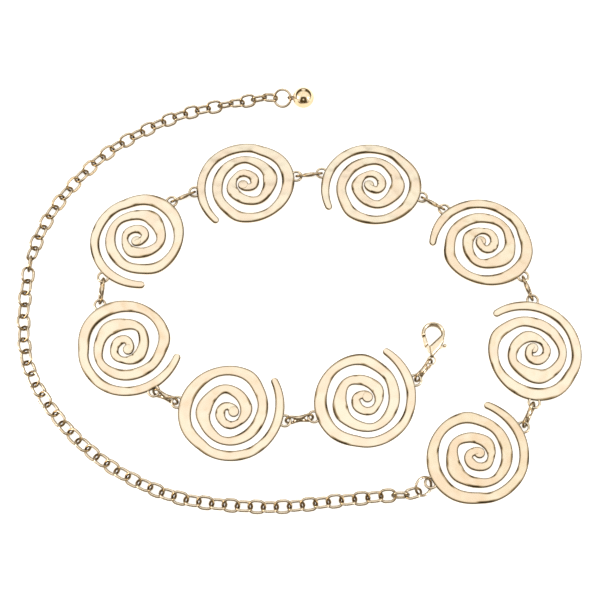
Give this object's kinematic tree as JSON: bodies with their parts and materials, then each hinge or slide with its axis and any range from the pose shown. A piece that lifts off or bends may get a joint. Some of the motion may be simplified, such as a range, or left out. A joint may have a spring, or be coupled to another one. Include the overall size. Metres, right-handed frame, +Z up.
{
  "type": "waist chain of spiral plates",
  "caption": "Waist chain of hammered flat spiral plates joined by figure-eight links, with a lobster clasp and a long cable chain that ends in a ball.",
  "frame": {"origin": "middle of the laid-out chain's box, on the surface that it lies on", "axes": "+Z up from the surface, +X along the longest extent, towards the right of the ring of plates, +Y towards the end with the ball"},
  "size_m": [0.2837, 0.229, 0.0114],
  "materials": {
    "plate_gold": "hammered, light champagne gold plate on zinc alloy",
    "wire_gold": "polished, light gold plate on steel wire",
    "cast_gold": "polished, light gold plate on a casting"
  },
  "bodies": {
    "belt": {"spiral_1": "plate_gold", "spiral_2": "plate_gold", "spiral_3": "plate_gold", "spiral_4": "plate_gold", "spiral_5": "plate_gold", "spiral_6": "plate_gold", "spiral_7": "plate_gold", "spiral_8": "plate_gold", "spiral_9": "plate_gold", "connector_1": "wire_gold", "connector_2": "wire_gold", "connector_3": "wire_gold", "connector_4": "wire_gold", "connector_5": "wire_gold", "connector_6": "wire_gold", "connector_7": "wire_gold", "connector_8": "wire_gold", "connector_9": "wire_gold", "clasp_body": "cast_gold", "start_ring": "wire_gold", "extension_chain": "wire_gold", "ball_ring": "wire_gold", "end_ball": "cast_gold"},
    "lever": {"clasp_lever": "wire_gold"}
  },
  "joints": [
    {"name": "lever_hinge", "type": "hinge", "parent": "belt", "child": "lever", "pos_m": [0.06726, -0.03262, 0.0022], "axis": [0, 0, 1], "range_deg": [-22, 0], "stiffness_Nm_per_rad": 0.002}
  ]
}
